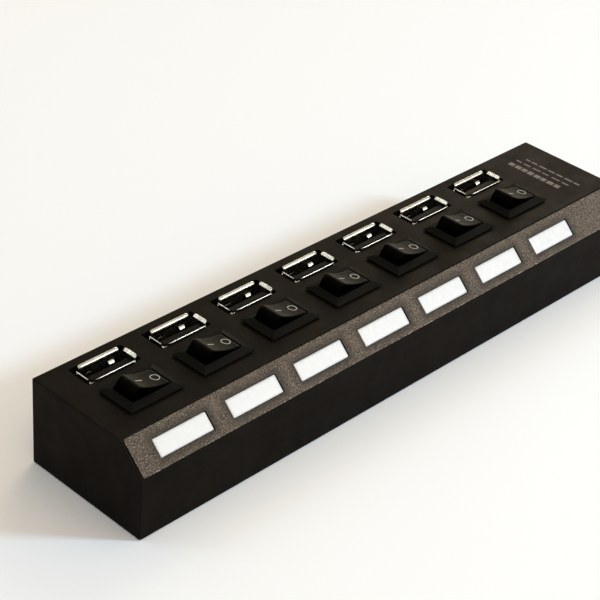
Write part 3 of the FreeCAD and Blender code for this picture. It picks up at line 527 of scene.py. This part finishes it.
def skin_rings(mesh, rings):
    """Quads between closed rings of equally many vertices."""
    for ring, following in zip(rings, rings[1:]):
        for i in range(len(ring)):
            j = (i + 1) % len(ring)
            mesh.faces.new((ring[i], ring[j], following[j], following[i]))


def skin_rows(mesh, rows):
    """Quads between open rows of equally many vertices."""
    for row, following in zip(rows, rows[1:]):
        for i in range(len(row) - 1):
            mesh.faces.new((row[i], row[i + 1], following[i + 1], following[i]))


def ring_loft(mesh, outlines, capped=False):
    """Skins closed outlines of equally many points, with a face on each end if capped."""
    rings = [[mesh.verts.new(point) for point in outline] for outline in outlines]
    skin_rings(mesh, rings)
    if capped:
        mesh.faces.new(rings[0][::-1])
        mesh.faces.new(rings[-1])


def as_object(name, mesh, closed=True):
    """Turns a bmesh into a linked object, a closed one with its normals outward."""
    if closed:
        bmesh.ops.recalc_face_normals(mesh, faces=mesh.faces)
    data = bpy.data.meshes.new(name)
    mesh.to_mesh(data)
    mesh.free()
    obj = bpy.data.objects.new(name, data)
    bpy.context.scene.collection.objects.link(obj)
    return obj


def modified(obj):
    """The object's mesh with its modifiers applied; the object itself is removed."""
    depsgraph = bpy.context.evaluated_depsgraph_get()
    data = bpy.data.meshes.new_from_object(obj.evaluated_get(depsgraph))
    bpy.data.objects.remove(obj)
    return data


def steel_strip(rows):
    """A sheet through rows of points, given the steel's thickness on its back and soft edges.

    The face that is kept has row across next row as its outward direction.
    """
    mesh = bmesh.new()
    skin_rows(mesh, [[mesh.verts.new(point) for point in row] for row in rows])
    obj = as_object("sheet", mesh, closed=False)
    solid = obj.modifiers.new("solid", "SOLIDIFY")
    solid.thickness = SHEET
    solid.offset = -1
    soft = obj.modifiers.new("soft", "BEVEL")
    soft.width = SHEET_EDGE
    soft.segments = 2
    soft.limit_method = "ANGLE"
    soft.angle_limit = math.radians(50)
    return modified(obj)


def smooth(obj):
    """Smooth shading, with creases kept crisp."""
    mesh = bmesh.new()
    mesh.from_mesh(obj.data)
    for face in mesh.faces:
        face.smooth = True
    for edge in mesh.edges:
        edge.smooth = len(edge.link_faces) == 2 and edge.calc_face_angle(0) < CREASE
    mesh.to_mesh(obj.data)
    mesh.free()


def finish_piece(obj, material, body, slot, *stood_for):
    """Gives a piece its material and shading, hangs it on its body, and hides the CAD nodes that it
    stands for.
    """
    obj.data.materials.clear()
    obj.data.materials.append(material)
    smooth(obj)
    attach(obj, body)
    if stood_for:
        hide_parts(*stood_for)


# ---- port shells -------------------------------------------------------------------------------
def bend_angle(reach, rise, radius):
    """Turn of a bend of this radius whose straight end arrives at (reach, rise).

    Found by halving the interval.
    """
    low, high = 0.1, 1.5
    for _ in range(40):
        angle = (low + high) / 2
        miss_out = reach - radius * (1 - math.cos(angle))
        miss_up = rise - radius * math.sin(angle)
        if math.atan2(miss_out, miss_up) > angle:
            low = angle
        else:
            high = angle
    return angle


def lip_rows(length, reach, bend):
    """Inner face of a flared lip: rows of (along, out, up), from the wall to the free edge."""
    turn = bend_angle(reach, LIP_RISE, bend)
    path = [(0.0, -LIP_ROOT)]
    for step in range(LIP_BENDS + 1):
        angle = turn * step / LIP_BENDS
        path.append((bend * (1 - math.cos(angle)), bend * math.sin(angle)))
    straight = math.hypot(reach - path[-1][0], LIP_RISE - path[-1][1])
    rows = [(point, length / 2) for point in path]
    start = path[-1]
    for step in range(1, LIP_STEPS + 1):
        along = straight * step / LIP_STEPS
        over = max(0.0, along - (straight - LIP_CORNER))
        half = length / 2 - LIP_CORNER + math.sqrt(max(0.0, LIP_CORNER ** 2 - over ** 2))
        point = (start[0] + along * math.sin(turn), start[1] + along * math.cos(turn))
        rows.append((point, half))
    return [
        [(half * (2 * i / 12 - 1), point[0], point[1]) for i in range(13)]
        for point, half in rows
    ]


def spring_rows(bump, sag, curl):
    """Inner face of a spring: rows of (along, in, z), from its root to its curled tip.

    A spring that sags is bent a little lower.
    """
    high = SPRING_BUMP - sag
    tip = SPRING_TIP - sag
    rows = []
    for step in range(25):
        share = step / 24
        z = SPRING_LOW + (tip - SPRING_LOW) * share
        if z < high:
            rise = (z - SPRING_LOW) / (high - SPRING_LOW)
            inward = bump * (0.35 * rise + 0.65 * rise ** 3)
        else:
            fall = (z - high) / (tip - high)
            inward = bump - curl * fall ** 1.6
        half = SPRING_W / 2 - SPRING_TAPER * share
        rows.append([(half * (2 * i / 6 - 1), inward, z) for i in range(7)])
    return rows


def shell_tube():
    """The folded tube under the lips, with its spring slots."""
    z0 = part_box("port_insulators")[0].z
    outer = (MOUTH_X / 2 + SHEET, MOUTH_Y / 2 + SHEET, SHELL_CORNER)
    inner = (MOUTH_X / 2, MOUTH_Y / 2, SHELL_CORNER - SHEET)
    levels = ((outer, z0), (outer, RIM - RIM_BEVEL), (inner, RIM), (inner, z0))
    rings = [[(x, y, z) for x, y in rounded_rectangle(*size)] for size, z in levels]
    mesh = bmesh.new()
    ring_loft(mesh, rings + rings[:1])
    bmesh.ops.remove_doubles(mesh, verts=mesh.verts, dist=WELD)
    tube = as_object("tube", mesh)
    slots = bmesh.new()
    for dx in (-SPRING_X, SPRING_X):
        for side in (-1, 1):
            box = bmesh.ops.create_cube(slots, size=1.0)
            size = Matrix.Diagonal((SLOT_W, SLOT_DEEP, SPRING_TIP - SPRING_LOW, 1))
            at = (dx, side * MOUTH_Y / 2, (SPRING_TIP + SPRING_LOW) / 2 + SLOT_RAISE)
            bmesh.ops.transform(slots, matrix=Matrix.Translation(at) @ size, verts=box["verts"])
    cutter = as_object("slots", slots)
    cut = tube.modifiers.new("slots", "BOOLEAN")
    cut.operation = "DIFFERENCE"
    cut.solver = "EXACT"
    cut.object = cutter
    data = modified(tube)
    bpy.data.objects.remove(cutter)
    return data


def placed(data, matrix):
    """The mesh itself, moved by the matrix."""
    data.transform(matrix)
    return data


def shell_lips():
    """Two long lips and two short ones, flared round the mouth."""
    up = Matrix.Translation((0, 0, LIP_BASE))
    lips = []
    for turn, lip_size, half in (
        (0, LONG_LIP, MOUTH_Y / 2),
        (2, LONG_LIP, MOUTH_Y / 2),
        (1, SHORT_LIP, MOUTH_X / 2),
        (3, SHORT_LIP, MOUTH_X / 2),
    ):
        rows = [[(a, half + out, w) for a, out, w in row] for row in lip_rows(*lip_size)]
        lips.append(placed(steel_strip(rows), up @ Matrix.Rotation(turn * math.pi / 2, 4, "Z")))
    return lips


def shell_springs():
    """A left and a right spring in the back wall, then in the front wall."""
    share, sag, curl = LEFT_SPRING
    springs = []
    for side, bump in ((1, BUMP_BACK), (-1, BUMP_FRONT)):
        for dx, bend in (
            (-SPRING_X, (share * bump, sag, curl)),
            (SPRING_X, (bump, 0.0, SPRING_CURL)),
        ):
            rows = [
                [(dx + a, side * (MOUTH_Y / 2 - inward), z) for a, inward, z in row]
                for row in spring_rows(*bend)
            ]
            if side < 0:
                rows = [row[::-1] for row in rows]
            springs.append(steel_strip(rows))
    return springs


def shell_legs():
    """A leg under each end of the tube."""
    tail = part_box("port_shell_1")[0].z
    legs = []
    for side in (-1, 1):
        mesh = bmesh.new()
        box = bmesh.ops.create_cube(mesh, size=1.0)
        size = Matrix.Diagonal((SHEET, LEG_W, LEG_H, 1))
        at = (side * (MOUTH_X + SHEET) / 2, 0, tail + LEG_H / 2)
        bmesh.ops.transform(mesh, matrix=Matrix.Translation(at) @ size, verts=box["verts"])
        bmesh.ops.bevel(mesh, geom=mesh.edges[:], offset=SHEET_EDGE, segments=2, affect="EDGES")
        leg = as_object("leg", mesh)
        legs.append(leg.data)
        bpy.data.objects.remove(leg)
    return legs


def port_shell_mesh():
    """One shell about the centre of its mouth: tube, four lips, four springs, two legs."""
    whole = bmesh.new()
    for data in [shell_tube(), *shell_lips(), *shell_springs(), *shell_legs()]:
        whole.from_mesh(data)
    obj = as_object("whole_shell", whole)
    data = obj.data
    bpy.data.objects.remove(obj)
    return data


def port_shells():
    """A copy of the shell in each port."""
    pattern = port_shell_mesh()
    for k, at in enumerate(PORT_AT, 1):
        data = placed(pattern.copy(), Matrix.Translation((at.x, at.y, 0)))
        obj = bpy.data.objects.new(f"port_{k}_shell", data)
        bpy.context.scene.collection.objects.link(obj)
        finish_piece(obj, NICKEL, "housing", "port_steel", f"port_shell_{k}")


# ---- marks on the rockers ----------------------------------------------------------------------
def rocker_frame(k):
    """From a rocker's own frame, level about its pivot, to the row frame at rest."""
    joint = JOINTS[f"rocker_{k}_tilt"]
    turn = Matrix.Rotation(-TILT, 4, Vector(joint["axis"]))
    return Matrix.Translation(joint["pos_m"]) @ turn


def dish_height(u):
    """Height of the hollowed top above the pivot, u along the rocker."""
    crown = ROCKER_R * math.cos(RIDGE)
    half = ROCKER_R * math.sin(RIDGE)
    radius = (half ** 2 + DISH ** 2) / (2 * DISH)
    return crown - DISH + radius - math.sqrt(radius ** 2 - u ** 2)


def mark(name, k, outlines, ink):
    """A thin raised print on the hollowed top, between closed outlines of (u, v) points."""
    def lifted(outline, height):
        return [(u, v, dish_height(u) + height) for u, v in outline]

    mesh = bmesh.new()
    rings = [lifted(outlines[0], -INK_ROOT)]
    rings += [lifted(outline, INK) for outline in outlines]
    rings += [lifted(outlines[-1], -INK_ROOT)]
    ring_loft(mesh, rings + rings[:1])
    bmesh.ops.remove_doubles(mesh, verts=mesh.verts, dist=WELD)
    obj = as_object(name, mesh)
    obj.data.transform(rocker_frame(k))
    finish_piece(obj, ink, f"rocker_{k}", "rocker_black")


def circle(at, radius):
    """Points of a circle whose centre is at (at, 0)."""
    angles = [2 * math.pi * n / RING_POINTS for n in range(RING_POINTS)]
    return [(at + radius * math.cos(angle), radius * math.sin(angle)) for angle in angles]


def rocker_marks():
    """The generic off ring and on bar of each rocker."""
    for k in range(1, STATIONS + 1):
        ring = [circle(RING_U, radius) for radius in RING_R]
        mark(f"rocker_{k}_off_ring", k, ring, RING_INK)
        bar = [[(u + BAR_U, v) for u, v in rounded_rectangle(*size)] for size in (BAR, BAR_CORE)]
        mark(f"rocker_{k}_on_bar", k, bar, BAR_INK)


# ---- label film and light windows --------------------------------------------------------------
def film_lift(x, t, distance):
    """Height of the film's face: pressed down round the windows, and slightly uneven."""
    wave = math.sin(x / (3.1 * MM) + 1.3) * math.sin(t / (1.9 * MM) + x / (7.3 * MM))
    drift = math.sin(x / (11 * MM) + 2 * t / (3 * MM))
    pressed = FILM_PRESS * math.exp(-(distance / PRESS_REACH) ** 2)
    return FILM_WAVE * wave + FILM_DRIFT * drift - pressed


def film_level(share):
    """Distance up the slope of a share: -1 the film's lower edge, 0 mid window, 1 its upper."""
    return WINDOW_MID + share * ((FILM_TOP - WINDOW_MID) if share > 0 else (WINDOW_MID - FILM_LOW))


def film_cell(mesh, layer, centre, left, right):
    """The film round one window, from the window's edge out to the cell's outline."""
    half_x = WINDOW_X / 2
    half_t = WINDOW_Y / 2

    def border(share_x, share_t):
        """The cell's outline in the direction of a point on a unit square's edge."""
        x = centre + share_x * ((right - centre) if share_x > 0 else (centre - left))
        return x, film_level(share_t)

    square = []
    for n in range(4 * FILM_SIDE_STEPS):
        side, step = divmod(n, FILM_SIDE_STEPS)
        s = 2 * step / FILM_SIDE_STEPS - 1
        square.append(((1, s), (-s, 1), (-1, -s), (s, -1))[side])
    inner = []
    for sx, st in square:
        reach_x = sx * half_x
        reach_t = st * half_t
        over_x = abs(reach_x) - (half_x - WINDOW_CORNER)
        over_t = abs(reach_t) - (half_t - WINDOW_CORNER)
        if over_x > 0 and over_t > 0:
            length = math.hypot(over_x, over_t)
            reach_x = math.copysign(half_x - WINDOW_CORNER + over_x * WINDOW_CORNER / length, sx)
            reach_t = math.copysign(half_t - WINDOW_CORNER + over_t * WINDOW_CORNER / length, st)
        inner.append((centre + reach_x, WINDOW_MID + reach_t))
    rings = []
    for share in FILM_RINGS:
        ring = []
        for (sx, st), (ix, it) in zip(square, inner):
            ox, ot = border(sx, st)
            x = ix + (ox - ix) * share
            t = it + (ot - it) * share
            gap_x = max(0.0, abs(x - centre) - half_x)
            gap_t = max(0.0, abs(t - WINDOW_MID) - half_t)
            distance = math.hypot(gap_x, gap_t)
            vert = mesh.verts.new((x, t, film_lift(x, t, distance) - FILM_DEPTH))
            # weight of the painted shade round the window
            vert[layer] = math.exp(-(distance / SHADE_REACH) ** 2)
            ring.append(vert)
        rings.append(ring)
    skin_rings(mesh, rings)


def film_tail(mesh, layer, left, right):
    """The plain stretch of film past the last window."""
    rows = []
    for i in range(FILM_SIDE_STEPS + 1):
        x = left + (right - left) * i / FILM_SIDE_STEPS
        row = []
        for n in range(FILM_SIDE_STEPS + 1):
            t = film_level(2 * n / FILM_SIDE_STEPS - 1)
            vert = mesh.verts.new((x, t, film_lift(x, t, 1.0) - FILM_DEPTH))
            vert[layer] = 0.0
            row.append(vert)
        rows.append(row)
    skin_rows(mesh, rows)


def round_film_corners(mesh):
    """Moves the four outer corners' vertices in to a radius."""
    for vert in mesh.verts:
        for sx in (-1, 1):
            for t_edge, st in ((FILM_LOW, -1), (FILM_TOP, 1)):
                cx = sx * (FILM_RIGHT - FILM_CORNER)
                ct = t_edge - st * FILM_CORNER
                dx = (vert.co.x - cx) * sx
                dt = (vert.co.y - ct) * st
                if dx > 0 and dt > 0:
                    square = max(dx, dt)
                    length = math.hypot(dx, dt)
                    vert.co.x = cx + sx * dx * square / length
                    vert.co.y = ct + st * dt * square / length


def label_film():
    """The film on the slope: a cell round each window and a plain tail, with dark cut edges that carry
    painted shade too.
    """
    mesh = bmesh.new()
    layer = mesh.verts.layers.float.new("near_window")
    centres = [at.x + WINDOW_SHIFT for at in SWITCH_AT]
    for k, centre in enumerate(centres):
        left = centre - PITCH / 2 if k else -FILM_RIGHT
        film_cell(mesh, layer, centre, left, centre + PITCH / 2)
    film_tail(mesh, layer, centres[-1] + PITCH / 2, FILM_RIGHT)
    bmesh.ops.remove_doubles(mesh, verts=mesh.verts, dist=FILM_WELD)
    round_film_corners(mesh)
    obj = as_object("slope_label_film", mesh)
    for polygon in obj.data.polygons:
        if polygon.normal.z < 0:
            obj.data.flip_normals()
            break
    solid = obj.modifiers.new("solid", "SOLIDIFY")
    solid.thickness = FILM_T
    solid.offset = -1
    data = modified(obj)
    data.transform(SLOPE_FRAME)
    obj = bpy.data.objects.new("slope_label_film", data)
    bpy.context.scene.collection.objects.link(obj)
    finish_piece(obj, FILM, "housing", "label_film", "label_film")
    obj.data.materials.append(FILM_EDGE)
    outward = SLOPE_FRAME.to_3x3() @ Vector((0, 0, 1))
    for polygon in obj.data.polygons:
        if polygon.normal.dot(outward) < 0.7:
            polygon.material_index = 1


def window_panes():
    """Seven diffusers, each a shade lower than the film and softly crowned."""
    for k, at in enumerate(SWITCH_AT, 1):
        rings = []
        for inset, drop in PANE_PROFILE:
            radius = max(PANE_CORNER, WINDOW_CORNER - inset * MM / 4)
            ring = rounded_rectangle(
                WINDOW_X / 2 - inset * MM, WINDOW_Y / 2 - inset * MM, radius)
            rings.append([(x, y, -drop * MM) for x, y in ring])
        mesh = bmesh.new()
        ring_loft(mesh, rings, capped=True)
        obj = as_object(f"light_window_{k}", mesh)
        shift = Matrix.Translation((at.x + WINDOW_SHIFT, WINDOW_MID, 0))
        obj.data.transform(SLOPE_FRAME @ shift)
        stood_for = ["light_windows"] if k == 1 else []
        finish_piece(obj, DIFFUSER, "housing", "window_white", *stood_for)


# ---- print on the housing's right end ----------------------------------------------------------
def print_dashes():
    """Plain dashes in place of the printing: three rows along the hub's depth."""
    mesh = bmesh.new()
    for x, height, dashes in DASH_ROWS:
        for y, length in dashes:
            outline = rounded_rectangle(height * MM / 2, length * MM / 2, DASH_CORNER, 4)
            rings = [
                [(x * MM + px, y * MM + py, TOP + z * MM) for px, py in outline]
                for z in (DASH_BOTTOM, DASH_TOP)
            ]
            ring_loft(mesh, rings, capped=True)
    obj = as_object("end_print_dashes", mesh)
    finish_piece(obj, PRINT_INK, "housing", "housing")


# ---- stage -------------------------------------------------------------------------------------
SKY_COOL = (0.34, 0.68, 1.30)     # colour at the back left
SKY_WARM = (1.0, 0.86, 0.655)     # colour at the front, and all round in reflections
SKY_WARM_SIDE = (0.55, -0.75, 0.36)             # toward the warm side
SKY_WARM_EDGE = (-0.65, -0.05)    # how nearly toward it the warm colour starts and is full
SKY_RISE = (0.42, 0.88)           # strength at the horizon and overhead
SKY_LOBES = (                     # toward, how nearly toward it starts and is full, share there
    ((0.30, -0.88, 0.37), (-0.8, 0.9), (0.44, 1.72)),
    ((0.80, 0.40, 0.40), (0.94, 1.0), (1.0, 9.0)),
)

FLOOR_SIZE = 3.0                  # half its width
FLOOR_DROP = 0.02 * MM            # floor's depth below the feet, so that their faces don't coincide
LAMP_DISTANCE = 1.2
TOWARD_KEY = (0.572, -0.650, 0.500)
TOWARD_SECOND = (-0.560, 0.636, 0.711)
LAMPS = (                         # name, toward, diameter, watts, colour, the rays that see it
    ("key", TOWARD_KEY, 0.17, 12.2, (0.49, 0.69, 0.93), "diffuse"),
    ("gloss", TOWARD_KEY, 0.50, 7.0, (0.97, 1.0, 0.99), "glossy"),
    ("second", TOWARD_SECOND, 0.34, 1.6, (0.40, 0.68, 1.0), "diffuse"),
    ("back_gloss", TOWARD_SECOND, 0.42, 2.6, (1.0, 0.97, 0.90), "glossy"),
)

CAMERA_AT = (-0.27990, -0.23347, 0.25179)
CAMERA_RIGHT = Vector((0.69916, -0.71190, 0.06616))
CAMERA_UP = Vector((0.35165, 0.42296, 0.83513))
CAMERA_FORWARD = Vector((0.62251, 0.56063, -0.54605))
CAMERA_LENS = 110.8               # millimetres, as is the sensor
CAMERA_SENSOR = 36.0


def floor():
    """A plain sheet of pale paper."""
    nodes = Nodes("paper")
    cloud = nodes.noise(0.4, 3)
    nodes.set(
        Base_Color=nodes.mix(cloud, (0.795, 0.793, 0.785), (0.815, 0.813, 0.805)),
        Roughness=0.9,
        Specular_IOR_Level=0.1,
    )
    mesh = bmesh.new()
    bmesh.ops.create_grid(mesh, x_segments=8, y_segments=8, size=FLOOR_SIZE)
    obj = as_object("floor", mesh)
    obj.location.z = -FLOOR_DROP
    obj.data.materials.append(nodes.material)


def lamp(name, toward, size, power, colour, seen_by):
    """A round soft lamp that shines at the hub from the direction toward."""
    data = bpy.data.lights.new(name, "AREA")
    data.shape = "DISK"
    data.size = size
    data.energy = power
    data.color = colour
    obj = bpy.data.objects.new(name, data)
    bpy.context.scene.collection.objects.link(obj)
    direction = Vector(toward).normalized()
    obj.location = direction * LAMP_DISTANCE
    obj.rotation_mode = "QUATERNION"
    obj.rotation_quaternion = (-direction).to_track_quat("-Z", "Y")
    obj.visible_diffuse = seen_by == "diffuse"
    obj.visible_glossy = seen_by == "glossy"


def sky():
    """Soft surround: warm at the front, cool at the back left, brighter overhead and in its lobes."""
    world = bpy.data.worlds.new("studio")
    world.use_nodes = True
    tree = world.node_tree
    toward = tree.nodes.new("ShaderNodeTexCoord").outputs["Generated"]

    def ramp(value, low, high, to_low, to_high):
        node = tree.nodes.new("ShaderNodeMapRange")
        tree.links.new(value, node.inputs[0])
        for socket, number in zip(node.inputs[1:5], (low, high, to_low, to_high)):
            socket.default_value = number
        return node.outputs[0]

    split = tree.nodes.new("ShaderNodeSeparateXYZ")
    tree.links.new(toward, split.inputs[0])

    def nearness(direction):
        """How nearly the view goes toward a direction, from -1 to 1."""
        node = tree.nodes.new("ShaderNodeVectorMath")
        node.operation = "DOT_PRODUCT"
        tree.links.new(toward, node.inputs[0])
        node.inputs[1].default_value = Vector(direction).normalized()
        return node.outputs["Value"]

    tint = tree.nodes.new("ShaderNodeMix")
    tint.data_type = "RGBA"
    warm = tree.nodes.new("ShaderNodeMath")       # mirrors see the warm colour all round
    warm.operation = "MAXIMUM"
    tree.links.new(ramp(nearness(SKY_WARM_SIDE), *SKY_WARM_EDGE, 0.0, 1.0), warm.inputs[0])
    path = tree.nodes.new("ShaderNodeLightPath")
    tree.links.new(path.outputs["Is Glossy Ray"], warm.inputs[1])
    tree.links.new(warm.outputs[0], tint.inputs[0])
    tint.inputs[6].default_value = (*SKY_COOL, 1)
    tint.inputs[7].default_value = (*SKY_WARM, 1)
    background = tree.nodes["Background"]
    tree.links.new(tint.outputs[2], background.inputs["Color"])
    strength = ramp(split.outputs["Z"], 0.0, 1.0, *SKY_RISE)
    for direction, edges, shares in SKY_LOBES:
        product = tree.nodes.new("ShaderNodeMath")
        product.operation = "MULTIPLY"
        tree.links.new(strength, product.inputs[0])
        tree.links.new(ramp(nearness(direction), *edges, *shares), product.inputs[1])
        strength = product.outputs[0]
    tree.links.new(strength, background.inputs["Strength"])
    bpy.context.scene.world = world


def camera():
    """The view from the front left, above the hub."""
    data = bpy.data.cameras.new("camera")
    data.lens = CAMERA_LENS
    data.sensor_width = CAMERA_SENSOR
    data.clip_start = 0.01
    data.clip_end = 20.0
    obj = bpy.data.objects.new("camera", data)
    bpy.context.scene.collection.objects.link(obj)
    turn = Matrix((CAMERA_RIGHT, CAMERA_UP, -CAMERA_FORWARD)).transposed().to_4x4()
    obj.matrix_world = Matrix.Translation(CAMERA_AT) @ turn
    bpy.context.scene.camera = obj


def studio():
    """Floor, sky and lamps."""
    floor()
    sky()
    for settings in LAMPS:
        lamp(*settings)
    bpy.context.scene.view_settings.view_transform = "Standard"


dress_frame()
port_shells()
rocker_marks()
label_film()
window_panes()
print_dashes()
studio()
camera()
